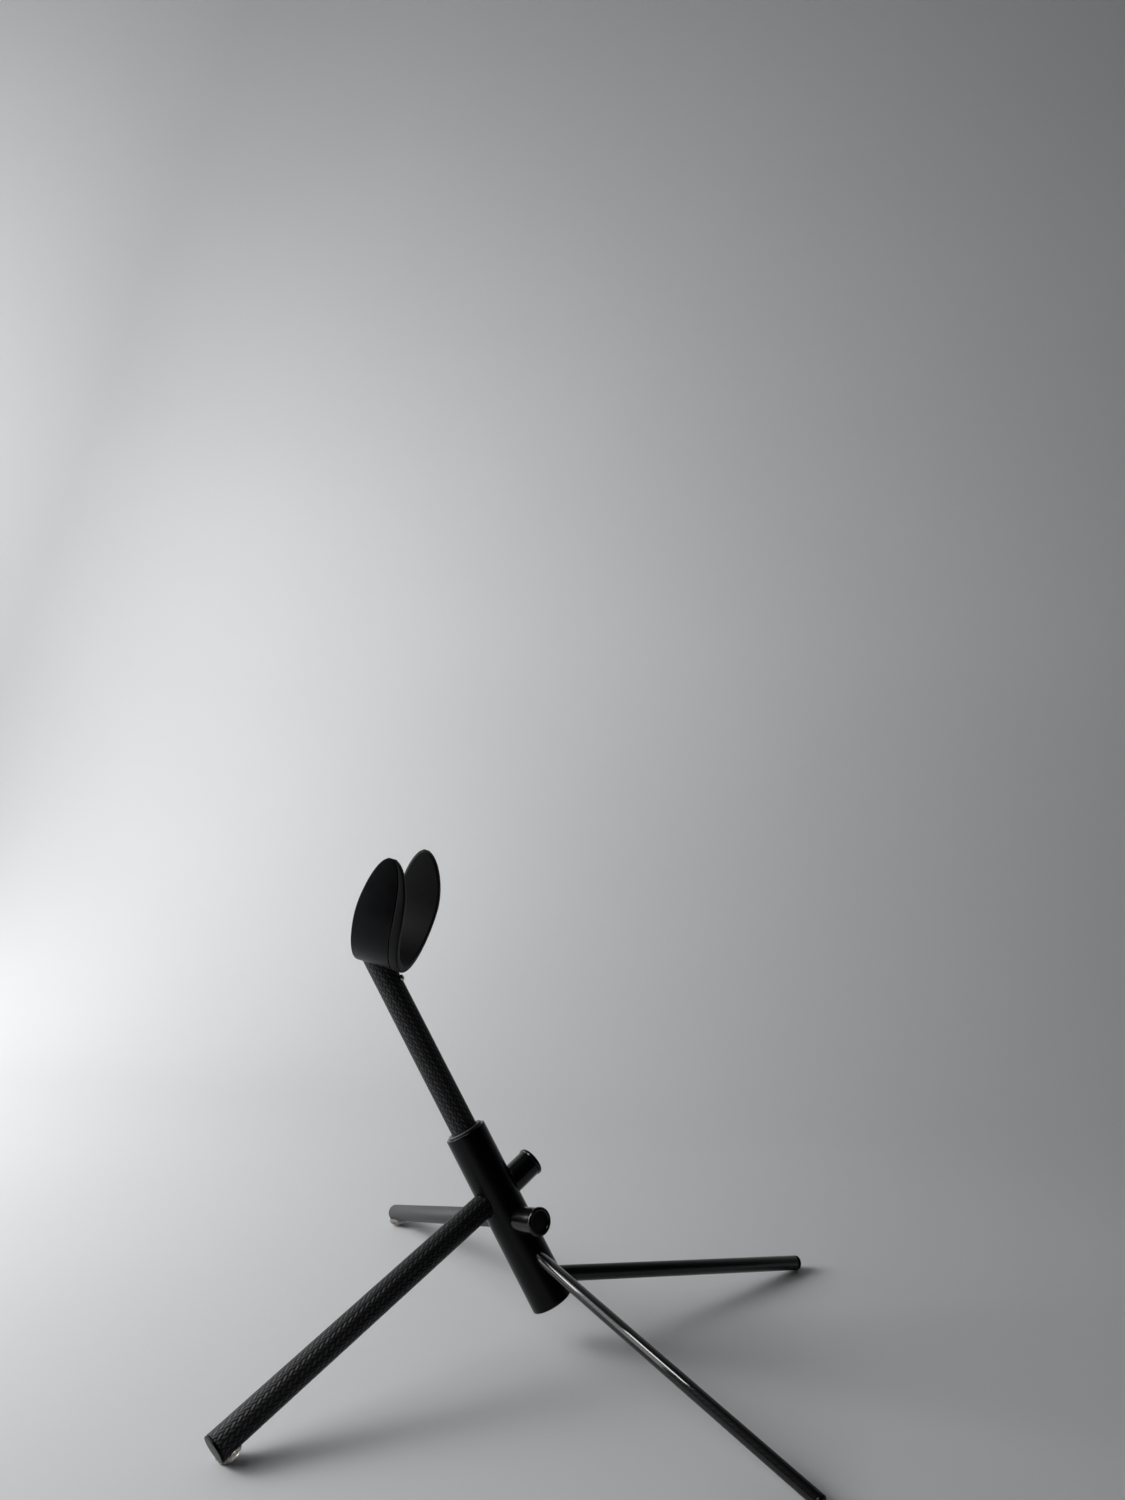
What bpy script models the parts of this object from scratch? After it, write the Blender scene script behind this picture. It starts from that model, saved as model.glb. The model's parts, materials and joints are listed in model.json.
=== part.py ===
"""Alto saxophone stand: a leaning hub bar with four plug-in legs, two rest pegs and a padded cradle.

Units are metres, +Z is up and +X points from the cradle towards the saxophone's body.
The hub leans back, so its pieces are drawn in a frame of its own: local Z runs up the bar
and local X faces the saxophone. Each leg and each rest peg has a frame whose local Z runs
out along it from the hub's axis.
"""

import math
from dataclasses import dataclass

import bmesh
import bpy
from mathutils import Matrix, Vector

MM = 0.001
FIT_GAP = 0.25 * MM       # radial room between a piece and the bore or tube it sits in
FACE_GAP = 0.3 * MM       # room between two faces that rest on each other
CUT_MARGIN = 20 * MM      # how far a cutter runs past the surface it opens

# Hub bar
HUB_BASE = Vector((-1.04, 0.84, 27.1)) * MM
HUB_LEAN = math.radians(29.8)
HUB_RADIUS = 12.0 * MM
HUB_LENGTH = 120.9 * MM
HUB_CHAMFER = 0.6 * MM
HUB_STEPS = 64

# Mast, its bush and its head
SOCKET_DEPTH = 30.8 * MM
BUSH_RADIUS = 10.0 * MM
BUSH_FLANGE_RADIUS = 11.7 * MM
BUSH_FLANGE_HEIGHT = 1.0 * MM
BUSH_FLOOR = 2.0 * MM
BUSH_FLOOR_HOLE = 4.0 * MM
BUSH_CHAMFER = 0.3 * MM
MAST_RADIUS = 7.0 * MM
TUBE_WALL = 0.9 * MM
HEAD_HEIGHT = 244.0 * MM  # where the mast's axis meets the outside of the cradle band
HEAD_OVERRUN = 16.0 * MM  # how far mast and plug are drawn past it, before the saddle trims them
HEAD_PLUG_LENGTH = 28.0 * MM
HEAD_PLUG_CHAMFER = 0.6 * MM
HEAD_PIN_HEIGHT = 229.0 * MM
HEAD_PIN_RADIUS = 1.4 * MM
HEAD_PIN_DEPTH = 6.5 * MM
HEAD_PIN_DOME_RADIUS = 2.3 * MM
HEAD_PIN_DOME_HEIGHT = 1.3 * MM
HEAD_PIN_DOME_RINGS = 5

# Cradle band and pad
CRADLE_TILT = math.radians(44.0)   # from the mast's axis to the middle line of the U
BAND_RADIUS = 44.0 * MM            # outside of the band
BAND_THICKNESS = 2.0 * MM
BAND_HALF_WIDTH = 12.9 * MM
BAND_EDGE = 0.5 * MM
ARM_TOE_IN = math.radians(7.0)
ARM_LENGTH = 28.0 * MM             # straight part, past the bend
ARM_TAPER = 43.0 * MM              # length over which an arm narrows to its tip
TIP_HALF_WIDTH = 1.6 * MM
PAD_THICKNESS = 3.0 * MM
PAD_INSET = 1.0 * MM
PAD_LIP = 6.3 * MM                 # how far the pad stands past the band, at the bottom
PAD_LIP_TIP = 1.4 * MM             # and at the tips
PAD_ROUND = 1.4 * MM
SCREW_RADIUS = 1.5 * MM
SCREW_HEAD_RADIUS = 2.9 * MM
SCREW_HEAD_HEIGHT = 1.5 * MM
SCREW_LENGTH = 7.0 * MM
SADDLE_HALF_LENGTH = 40.0 * MM
ARC_STEPS = 16
ARM_STEPS = 9

# Legs: the feet stand at the corners of a near rectangle round the hub's base
FRONT_FOOT = Vector((-156.0, 159.0)) * MM
REAR_FOOT = Vector((162.0, 136.0)) * MM
PLUG_LENGTH = 9.0 * MM
BUMPER_RADIUS = 7.2 * MM
BUMPER_HEIGHT = 3.6 * MM           # below the tube
BUMPER_WING = 2.4 * MM             # how far its edge climbs the tube's side
BUMPER_BACK = 6.5 * MM             # from the leg's end to the bumper's middle
BUMPER_SQUASH = 0.35 * MM
BUMPER_CUT_LENGTH = 40.0 * MM      # how far back the tube is cut out of it
BUMPER_RINGS = 6
BUMPER_STEPS = 36
FLOOR_REACH = 1.0                  # half the floor's size, and its depth, as a cutter
FLOOR_DEPTH = 30.0 * MM
BLIND_SOCKET = 8.0 * MM            # a rear socket's depth past the hub's axis
FRONT_LEG_REACH = 2.5 * MM         # how far a front leg goes past the hub's axis

# Rest pegs: sleeved pins on the saxophone's side of the hub, spread to a V
PEG_SPREAD = math.radians(40)      # each way from straight ahead
PEG_TILT = 0.15                    # slope along the hub, down to the left and up to the right
PEG_START = 5.5 * MM               # from the hub's axis to the pin's inner end
PEG_REACH = 32.5 * MM              # from the hub's axis to the sleeve's end
PEG_RECESS = 1.6 * MM              # from the sleeve's end to the pin's end
PEG_CHAMFER = 0.4 * MM
SLEEVE_START = 6.0 * MM            # inside the hub, whose surface then trims it
SLEEVE_WALL = 1.5 * MM
SLEEVE_BEAD = 0.6 * MM
SLEEVE_BEAD_LENGTH = 3.6 * MM
SLEEVE_LIP = 0.5 * MM
SLEEVE_ROUND = 1.2 * MM

ROUND_STEPS = 48
SMALL_STEPS = 24
FINE_STEPS = 128
FLOOR_STEPS = 8
SHARP_ANGLE = math.radians(35)


@dataclass
class Peg:
    """One rest peg: its pin's radius, the height where it crosses the hub's axis, its side."""

    name: str
    radius: float
    height: float
    side: int


PEGS = (
    Peg("left", 6.0 * MM, 58 * MM, -1),
    Peg("right", 7.0 * MM, 76 * MM, 1),
)


@dataclass
class Leg:
    """One leg: its tube, where its axis crosses the hub's and how its end is closed."""

    name: str
    radius: float
    height: float
    front: bool
    side: int
    cap_length: float
    cap_round: float


LEGS = (
    Leg("front_left", 8.0 * MM, 76 * MM, True, -1, 1.3 * MM, 0.4 * MM),
    Leg("front_right", 6.0 * MM, 58 * MM, True, 1, 2.2 * MM, 1.2 * MM),
    Leg("rear_left", 4.0 * MM, 40 * MM, False, -1, 2.4 * MM, 1.0 * MM),
    Leg("rear_right", 5.0 * MM, 18 * MM, False, 1, 3.0 * MM, 1.4 * MM),
)


# Scene helpers

def clear_scene():
    for item in list(bpy.data.objects):
        bpy.data.objects.remove(item, do_unlink=True)


def make_material(name, colour, roughness, metallic=0.0):
    material = bpy.data.materials.new(name)
    material.use_nodes = True
    shader = material.node_tree.nodes["Principled BSDF"]
    shader.inputs["Base Color"].default_value = (*colour, 1.0)
    shader.inputs["Roughness"].default_value = roughness
    shader.inputs["Metallic"].default_value = metallic
    return material


def make_frame(name, matrix, parent=None):
    empty = bpy.data.objects.new(name, None)
    empty.empty_display_size = 10 * MM
    bpy.context.collection.objects.link(empty)
    empty.parent = parent
    empty.matrix_basis = matrix
    return empty


def add_object(name, mesh, parent, material=None):
    item = bpy.data.objects.new(name, mesh)
    bpy.context.collection.objects.link(item)
    item.parent = parent
    if material:
        mesh.materials.append(material)
    return item


def finish_mesh(name, bm):
    bmesh.ops.recalc_face_normals(bm, faces=bm.faces)
    mesh = bpy.data.meshes.new(name)
    bm.to_mesh(mesh)
    bm.free()
    mesh.shade_smooth()
    mesh.set_sharp_from_angle(angle=SHARP_ANGLE)
    return mesh


# Shape helpers

def turned(name, profile, steps=ROUND_STEPS):
    """A turned solid from a closed profile of (radius, height) points round the local Z axis."""
    bm = bmesh.new()
    rings = []
    for radius, height in profile:
        if radius < 1e-7:
            rings.append([bm.verts.new((0, 0, height))])
            continue
        ring = []
        for step in range(steps):
            angle = 2 * math.pi * step / steps
            ring.append(bm.verts.new((radius * math.cos(angle), radius * math.sin(angle), height)))
        rings.append(ring)
    for index, ring in enumerate(rings):
        other = rings[(index + 1) % len(rings)]
        if len(ring) == 1 and len(other) == 1:
            continue
        for step in range(steps):
            ahead = (step + 1) % steps
            if len(ring) == 1:
                bm.faces.new((ring[0], other[step], other[ahead]))
            elif len(other) == 1:
                bm.faces.new((ring[step], other[0], ring[ahead]))
            else:
                bm.faces.new((ring[step], other[step], other[ahead], ring[ahead]))
    return finish_mesh(name, bm)


def swept(name, sections):
    """A solid through equal closed sections, each a list of points, with flat ends."""
    bm = bmesh.new()
    loops = [[bm.verts.new(point) for point in section] for section in sections]
    count = len(loops[0])
    for loop, other in zip(loops, loops[1:]):
        for index in range(count):
            ahead = (index + 1) % count
            bm.faces.new((loop[index], loop[ahead], other[ahead], other[index]))
    bm.faces.new(loops[0])
    bm.faces.new(list(reversed(loops[-1])))
    bmesh.ops.triangulate(bm, faces=[face for face in bm.faces if len(face.verts) > 4])
    return finish_mesh(name, bm)


def corner(centre, radius, start, end, steps=4):
    """Profile points of a round corner, as (radius, height) pairs."""
    points = []
    for step in range(steps + 1):
        angle = math.radians(start + (end - start) * step / steps)
        points.append((centre[0] + radius * math.cos(angle), centre[1] + radius * math.sin(angle)))
    return points


def rod_profile(radius, low, high, edge=0.0):
    """A solid rod from low to high, with a chamfer on both ends."""
    return [
        (0, low),
        (radius - edge, low),
        (radius, low + edge),
        (radius, high - edge),
        (radius - edge, high),
        (0, high),
    ]


def tube_profile(outer, inner, low, high):
    return [(outer, low), (outer, high), (inner, high), (inner, low)]


def cut(item, cutter):
    """Takes the cutter's shape out of the item and keeps the cutter out of sight."""
    cutter.hide_render = True
    cutter.display_type = "WIRE"
    boolean = item.modifiers.new(cutter.name, "BOOLEAN")
    boolean.operation = "DIFFERENCE"
    boolean.solver = "EXACT"
    boolean.object = cutter


def rod_cutter(name, radius, low, high, parent, steps=ROUND_STEPS):
    profile = [(0, low), (radius, low), (radius, high), (0, high)]
    return add_object(name, turned(name, profile, steps), parent)


# Frames

def hub_point(height):
    axis = Vector((-math.sin(HUB_LEAN), 0, math.cos(HUB_LEAN)))
    return HUB_BASE + axis * height


def bumper_curvature():
    return (BUMPER_RADIUS ** 2 + BUMPER_HEIGHT ** 2) / (2 * BUMPER_HEIGHT)


def end_height(leg, slope):
    """Height of the leg's axis at its end, with the leg sloping down at this angle."""
    if leg.front:
        dome = bumper_curvature()
        at_bumper = dome - BUMPER_SQUASH + (leg.radius + BUMPER_HEIGHT - dome) * math.cos(slope)
        return at_bumper - BUMPER_BACK * math.sin(slope)
    rounding = leg.cap_round
    return (leg.radius - rounding) * math.cos(slope) + rounding * (1 - math.sin(slope))


def leg_line(leg):
    """Where the leg's axis crosses the hub's, its direction and its length to the end."""
    start = hub_point(leg.height)
    foot = FRONT_FOOT if leg.front else REAR_FOOT
    end = Vector((HUB_BASE.x + foot.x, HUB_BASE.y + leg.side * foot.y, 0))
    for _ in range(8):
        along = end - start
        slope = math.asin(-along.z / along.length)
        end.z = end_height(leg, slope)
    along = end - start
    return start, along.normalized(), along.length


def leg_frame(leg):
    start, along, length = leg_line(leg)
    down = Vector((0, 0, -1))
    down = (down - along * down.dot(along)).normalized()
    across = along.cross(down)
    turn = Matrix((down, across, along)).transposed().to_4x4()
    return make_frame(leg.name + "_leg_frame", Matrix.Translation(start) @ turn), length


def peg_frame(peg, hub_frame):
    forward = Vector((math.cos(PEG_SPREAD), peg.side * math.sin(PEG_SPREAD), peg.side * PEG_TILT))
    turn = forward.to_track_quat("Z", "Y").to_matrix().to_4x4()
    matrix = Matrix.Translation((0, 0, peg.height)) @ turn
    return make_frame(peg.name + "_peg_frame", matrix, hub_frame)


def lean(angle):
    return Matrix.Rotation(angle, 4, "Y")


# Hub and bush

def build_hub(hub_frame, material):
    profile = rod_profile(HUB_RADIUS, 0, HUB_LENGTH, HUB_CHAMFER)
    hub = add_object("hub_body", turned("hub_body", profile, HUB_STEPS), hub_frame, material)
    floor = HUB_LENGTH - SOCKET_DEPTH
    socket = rod_cutter("cut_mast_socket", BUSH_RADIUS + FIT_GAP, floor, HUB_LENGTH + CUT_MARGIN,
                        hub_frame)
    cut(hub, socket)
    return hub


def bush_floor_height():
    return HUB_LENGTH - SOCKET_DEPTH + FACE_GAP + BUSH_FLOOR


def build_bush(hub_frame, material):
    low = HUB_LENGTH - SOCKET_DEPTH + FACE_GAP
    shoulder = HUB_LENGTH + FACE_GAP
    top = shoulder + BUSH_FLANGE_HEIGHT
    bore = MAST_RADIUS + FIT_GAP
    profile = [
        (BUSH_FLOOR_HOLE, low),
        (BUSH_RADIUS, low),
        (BUSH_RADIUS, shoulder),
        (BUSH_FLANGE_RADIUS, shoulder),
        (BUSH_FLANGE_RADIUS, top - BUSH_CHAMFER),
        (BUSH_FLANGE_RADIUS - BUSH_CHAMFER, top),
        (bore + BUSH_CHAMFER, top),
        (bore, top - BUSH_CHAMFER),
        (bore, bush_floor_height()),
        (BUSH_FLOOR_HOLE, bush_floor_height()),
    ]
    return add_object("mast_bush", turned("mast_bush", profile), hub_frame, material)


# Mast and its head

def build_mast(mast_frame, cradle_frame, materials):
    """The tube, and the plug in its top that the cradle is screwed to."""
    low = bush_floor_height() + FACE_GAP
    high = HEAD_HEIGHT + HEAD_OVERRUN
    inner = MAST_RADIUS - TUBE_WALL
    profile = tube_profile(MAST_RADIUS, inner, low, high)
    mast = add_object("mast_tube", turned("mast_tube", profile), mast_frame, materials["carbon"])
    plug_low = HEAD_HEIGHT - HEAD_PLUG_LENGTH
    profile = rod_profile(inner - FIT_GAP, plug_low, high, HEAD_PLUG_CHAMFER)
    plug = add_object("mast_head_plug", turned("mast_head_plug", profile), mast_frame,
                      materials["hub"])

    saddle = rod_cutter("cut_saddle", BAND_RADIUS + FACE_GAP, -SADDLE_HALF_LENGTH,
                        SADDLE_HALF_LENGTH, cradle_frame, FINE_STEPS)
    saddle.matrix_basis = lean(math.pi / 2)
    cut(mast, saddle)
    cut(plug, saddle)

    screw_end = -BAND_RADIUS + BAND_THICKNESS - SCREW_LENGTH
    drill = rod_cutter("cut_head_screw", SCREW_RADIUS + FIT_GAP, screw_end - FACE_GAP, 0,
                       cradle_frame, SMALL_STEPS)
    cut(plug, drill)
    return mast, plug


def build_head_pin(mast_frame, mast, plug, material):
    """The small domed pin that goes through the mast's wall into the plug."""
    matrix = Matrix.Translation((0, 0, HEAD_PIN_HEIGHT)) @ lean(math.pi / 2)
    pin_frame = make_frame("head_pin_frame", matrix, mast_frame)
    low = MAST_RADIUS - HEAD_PIN_DEPTH
    hole = rod_cutter("cut_head_pin", HEAD_PIN_RADIUS + FIT_GAP, low - FACE_GAP,
                      MAST_RADIUS + CUT_MARGIN, pin_frame, SMALL_STEPS)
    cut(mast, hole)
    cut(plug, hole)
    seat = MAST_RADIUS + FACE_GAP
    profile = [(0, low), (HEAD_PIN_RADIUS, low), (HEAD_PIN_RADIUS, seat)]
    for ring in range(HEAD_PIN_DOME_RINGS):
        angle = math.pi / 2 * ring / HEAD_PIN_DOME_RINGS
        profile.append((HEAD_PIN_DOME_RADIUS * math.cos(angle),
                        seat + HEAD_PIN_DOME_HEIGHT * math.sin(angle)))
    profile.append((0, seat + HEAD_PIN_DOME_HEIGHT))
    add_object("mast_head_pin", turned("mast_head_pin", profile, SMALL_STEPS), pin_frame, material)


# Cradle

def arc_stations():
    """Middle line of the U, from one tip to the other, as (across, up, angle, to_tip)."""
    half_turn = math.pi / 2 + ARM_TOE_IN
    stations = []
    for step in range(ARC_STEPS + 1):
        angle = half_turn * step / ARC_STEPS
        to_tip = ARM_LENGTH + BAND_RADIUS * (half_turn - angle)
        stations.append((0.0, 0.0, angle, to_tip))
    for step in range(1, ARM_STEPS + 1):
        along = ARM_LENGTH * math.sin(math.pi / 2 * step / ARM_STEPS)
        stations.append((-along * math.sin(ARM_TOE_IN), along * math.cos(ARM_TOE_IN), half_turn,
                         ARM_LENGTH - along))
    mirrored = [(-across, up, -angle, to_tip) for across, up, angle, to_tip in stations[:0:-1]]
    return mirrored + stations


def half_width(to_tip):
    """Half the band's width, narrowing along an ellipse towards the tip."""
    if to_tip >= ARM_TAPER:
        return BAND_HALF_WIDTH
    narrow = (ARM_TAPER - to_tip) / ARM_TAPER
    return max(TIP_HALF_WIDTH, BAND_HALF_WIDTH * math.sqrt(1 - narrow ** 2))


def place_section(station, outline):
    """Sets an outline of (along the U's axis, radius) points across the U at a station."""
    across, up, angle, _ = station
    return [
        (width, across + radius * math.sin(angle), up - radius * math.cos(angle))
        for width, radius in outline
    ]


def band_outline(station):
    half = half_width(station[3])
    inner = BAND_RADIUS - BAND_THICKNESS
    return [
        (-half, inner + BAND_EDGE),
        (-half, BAND_RADIUS - BAND_EDGE),
        (-half + BAND_EDGE, BAND_RADIUS),
        (half - BAND_EDGE, BAND_RADIUS),
        (half, BAND_RADIUS - BAND_EDGE),
        (half, inner + BAND_EDGE),
        (half - BAND_EDGE, inner),
        (-half + BAND_EDGE, inner),
    ]


def pad_outline(station):
    half = half_width(station[3])
    share = (half / BAND_HALF_WIDTH) ** 1.5
    lip = PAD_LIP_TIP + (PAD_LIP - PAD_LIP_TIP) * share
    rounding = min(PAD_ROUND, 0.45 * lip)
    outer = BAND_RADIUS - BAND_THICKNESS - FACE_GAP
    inner = outer - PAD_THICKNESS
    left = -max(half - PAD_INSET, 0.5 * half)
    step = half + FACE_GAP
    right = half + lip
    return [
        (left, inner + PAD_ROUND),
        (left, outer),
        (step, outer),
        (step, BAND_RADIUS - 0.3 * rounding),
        (step + 0.3 * rounding, BAND_RADIUS),
        (right - rounding, BAND_RADIUS),
        (right, BAND_RADIUS - rounding),
        (right, inner + PAD_ROUND),
        (right - rounding, inner),
        (left + 0.5 * rounding, inner),
    ]


def screw_profile(gap=0.0):
    """A countersunk screw's outline, grown by a gap for the hole that it sits in."""
    top = -BAND_RADIUS + BAND_THICKNESS
    rim = top - FACE_GAP - gap
    low = top - SCREW_LENGTH - gap
    return [
        (0, low),
        (SCREW_RADIUS + gap, low),
        (SCREW_RADIUS + gap, rim - SCREW_HEAD_HEIGHT),
        (SCREW_HEAD_RADIUS + gap, rim),
        (0, rim),
    ]


def screw_hole_profile():
    above = -BAND_RADIUS + CUT_MARGIN
    profile = screw_profile(FIT_GAP)
    return profile[:-1] + [(SCREW_HEAD_RADIUS + FIT_GAP, above), (0, above)]


def build_cradle(cradle_frame, materials):
    stations = arc_stations()
    band_mesh = swept("cradle_band", [place_section(s, band_outline(s)) for s in stations])
    band = add_object("cradle_band", band_mesh, cradle_frame, materials["band"])
    hole_mesh = turned("cut_band_hole", screw_hole_profile(), SMALL_STEPS)
    cut(band, add_object("cut_band_hole", hole_mesh, cradle_frame))
    pad_mesh = swept("cradle_pad", [place_section(s, pad_outline(s)) for s in stations])
    add_object("cradle_pad", pad_mesh, cradle_frame, materials["rubber"])
    screw_mesh = turned("cradle_screw", screw_profile(), SMALL_STEPS)
    add_object("cradle_screw", screw_mesh, cradle_frame, materials["steel"])


# Legs

def build_leg(leg, frame, length, hub, materials):
    """A leg's tube and end cap, and its socket in the hub."""
    reach = FRONT_LEG_REACH if leg.front else BLIND_SOCKET - FACE_GAP
    inner = leg.radius - TUBE_WALL
    shoulder = length - leg.cap_length
    tube_name = leg.name + "_leg_tube"
    profile = tube_profile(leg.radius, inner, -reach, shoulder - FACE_GAP)
    add_object(tube_name, turned(tube_name, profile), frame, materials["carbon"])

    cap_name = leg.name + "_leg_cap"
    rim = corner((leg.radius - leg.cap_round, length - leg.cap_round), leg.cap_round, 0, 90)
    stem = inner - FIT_GAP
    profile = [(0, shoulder - PLUG_LENGTH), (stem, shoulder - PLUG_LENGTH), (stem, shoulder)]
    profile += [(leg.radius, shoulder)] + rim + [(0, length)]
    add_object(cap_name, turned(cap_name, profile), frame, materials["cap"])

    socket = rod_cutter("cut_" + leg.name + "_socket", leg.radius + FIT_GAP, -reach - FACE_GAP,
                        HUB_RADIUS + CUT_MARGIN, frame)
    cut(hub, socket)


def build_bumper(leg, frame, length, floor_cutter, material):
    """A soft dome under the leg's end, hollowed to the tube and flattened by the floor."""
    name = leg.name + "_bumper"
    dome = bumper_curvature()
    tip = leg.radius + BUMPER_HEIGHT
    half_angle = math.asin(BUMPER_RADIUS / dome)
    profile = [(0, leg.radius - BUMPER_WING), (BUMPER_RADIUS, leg.radius - BUMPER_WING)]
    for ring in range(BUMPER_RINGS):
        angle = half_angle * (1 - ring / BUMPER_RINGS)
        profile.append((dome * math.sin(angle), tip - dome * (1 - math.cos(angle))))
    profile.append((0, tip))
    matrix = Matrix.Translation((0, 0, length - BUMPER_BACK)) @ lean(math.pi / 2)
    bumper_frame = make_frame(name + "_frame", matrix, frame)
    bumper = add_object(name, turned(name, profile, BUMPER_STEPS), bumper_frame, material)
    tube = rod_cutter("cut_" + name, leg.radius + FACE_GAP, length - BUMPER_CUT_LENGTH,
                      length + CUT_MARGIN, frame)
    cut(bumper, tube)
    cut(bumper, floor_cutter)


# Rest pegs

def build_peg(peg, frame, hub, hub_cutter, materials):
    """A rest pin, the rubber sleeve over it and the bore in the hub that holds it."""
    pin_name = peg.name + "_rest_pin"
    pin_end = PEG_REACH - PEG_RECESS
    profile = rod_profile(peg.radius, PEG_START, pin_end, PEG_CHAMFER)
    add_object(pin_name, turned(pin_name, profile), frame, materials["hub"])
    bore = rod_cutter("cut_" + pin_name, peg.radius + FIT_GAP, PEG_START - FACE_GAP,
                      HUB_RADIUS + CUT_MARGIN, frame)
    cut(hub, bore)

    sleeve_name = peg.name + "_rest_sleeve"
    inner = peg.radius + FIT_GAP
    wall = peg.radius + SLEEVE_WALL
    bead = wall + SLEEVE_BEAD
    mouth = peg.radius - SLEEVE_LIP
    shelf = pin_end + FACE_GAP
    profile = [(inner, SLEEVE_START), (inner, shelf), (mouth, shelf)]
    profile += [(mouth, PEG_REACH - PEG_CHAMFER), (mouth + PEG_CHAMFER, PEG_REACH)]
    profile += corner((bead - SLEEVE_ROUND, PEG_REACH - SLEEVE_ROUND), SLEEVE_ROUND, 90, 0)
    profile += [(bead, PEG_REACH - SLEEVE_BEAD_LENGTH + SLEEVE_BEAD)]
    profile += [(wall, PEG_REACH - SLEEVE_BEAD_LENGTH), (wall, SLEEVE_START)]
    sleeve = add_object(sleeve_name, turned(sleeve_name, profile), frame, materials["rubber"])
    cut(sleeve, hub_cutter)


def build_stand():
    materials = {
        "hub": make_material("satin_black_acetal", (0.018, 0.019, 0.021), 0.42),
        "bush": make_material("grey_acetal", (0.10, 0.10, 0.105), 0.5),
        "carbon": make_material("woven_carbon", (0.03, 0.03, 0.032), 0.3),
        "band": make_material("satin_black_band", (0.03, 0.032, 0.035), 0.38),
        "rubber": make_material("black_rubber", (0.014, 0.014, 0.014), 0.55),
        "cap": make_material("black_cap", (0.025, 0.025, 0.027), 0.45),
        "steel": make_material("polished_steel", (0.62, 0.61, 0.59), 0.25, 1.0),
        "silicone": make_material("clear_silicone", (0.55, 0.52, 0.47), 0.3),
    }
    hub_frame = make_frame("hub_frame", Matrix.Translation(HUB_BASE) @ lean(-HUB_LEAN))
    mast_frame = make_frame("mast_frame", Matrix.Identity(4), hub_frame)
    cradle_matrix = Matrix.Translation((0, 0, HEAD_HEIGHT)) @ lean(CRADLE_TILT)
    cradle_matrix = cradle_matrix @ Matrix.Translation((0, 0, BAND_RADIUS))
    cradle_frame = make_frame("cradle_frame", cradle_matrix, mast_frame)

    hub = build_hub(hub_frame, materials["hub"])
    build_bush(hub_frame, materials["bush"])
    mast, plug = build_mast(mast_frame, cradle_frame, materials)
    build_head_pin(mast_frame, mast, plug, materials["steel"])
    build_cradle(cradle_frame, materials)

    floor_cutter = rod_cutter("cut_floor", FLOOR_REACH, -FLOOR_DEPTH, 0, None, FLOOR_STEPS)
    for leg in LEGS:
        frame, length = leg_frame(leg)
        build_leg(leg, frame, length, hub, materials)
        if leg.front:
            build_bumper(leg, frame, length, floor_cutter, materials["silicone"])

    hub_cutter = rod_cutter("cut_hub_outside", HUB_RADIUS + FACE_GAP, -CUT_MARGIN,
                            HUB_LENGTH + CUT_MARGIN, hub_frame, FINE_STEPS)
    for peg in PEGS:
        build_peg(peg, peg_frame(peg, hub_frame), hub, hub_cutter, materials)


clear_scene()
build_stand()
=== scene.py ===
"""Looks of the saxophone stand: woven carbon tubes, a turned hub, a padded cradle and clear feet.

Every visible piece is built again here, finer than the CAD solid that it stands for, in a
frame measured off that solid. A round piece's frame has its Z axis along the piece's own
axis. The hub's X axis faces the saxophone, and a leg's X axis points down at the floor.
"""

import json
import math

import bmesh
import bpy
from mathutils import Matrix, Vector


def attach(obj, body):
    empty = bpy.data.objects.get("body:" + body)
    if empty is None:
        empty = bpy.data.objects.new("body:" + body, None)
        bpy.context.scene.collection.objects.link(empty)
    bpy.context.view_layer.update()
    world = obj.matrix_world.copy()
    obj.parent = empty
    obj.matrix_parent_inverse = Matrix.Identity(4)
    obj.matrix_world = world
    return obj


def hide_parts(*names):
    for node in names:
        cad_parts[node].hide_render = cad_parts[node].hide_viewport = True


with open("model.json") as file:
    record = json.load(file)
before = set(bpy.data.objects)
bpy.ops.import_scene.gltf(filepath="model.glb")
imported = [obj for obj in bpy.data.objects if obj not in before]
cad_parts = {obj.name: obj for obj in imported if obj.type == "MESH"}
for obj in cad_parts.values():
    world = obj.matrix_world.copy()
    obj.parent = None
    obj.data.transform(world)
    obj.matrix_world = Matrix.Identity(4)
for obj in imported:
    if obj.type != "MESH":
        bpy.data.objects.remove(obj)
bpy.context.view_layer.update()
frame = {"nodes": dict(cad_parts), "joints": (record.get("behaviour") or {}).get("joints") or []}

MM = 0.001
FIT_GAP = 0.25 * MM        # radial room between a piece and the bore it sits in
FACE_GAP = 0.3 * MM        # room between two faces that rest on each other
CUT_MARGIN = 20 * MM       # how far a cutter runs past the surface it opens
ROUND_STEPS = 96
EDGE_STEPS = 4             # points on a rounded edge
SHARP_ANGLE = math.radians(32)

# Camera, at the height and distance that the view was taken from
CAMERA_PLACE = Vector((115.7, -721.4, 382.6)) * MM
CAMERA_AZIMUTH = math.radians(9.14)
CAMERA_ELEVATION = math.radians(-0.08)
CAMERA_ROLL = math.radians(0.92)
CAMERA_LENS = 27.05

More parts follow.
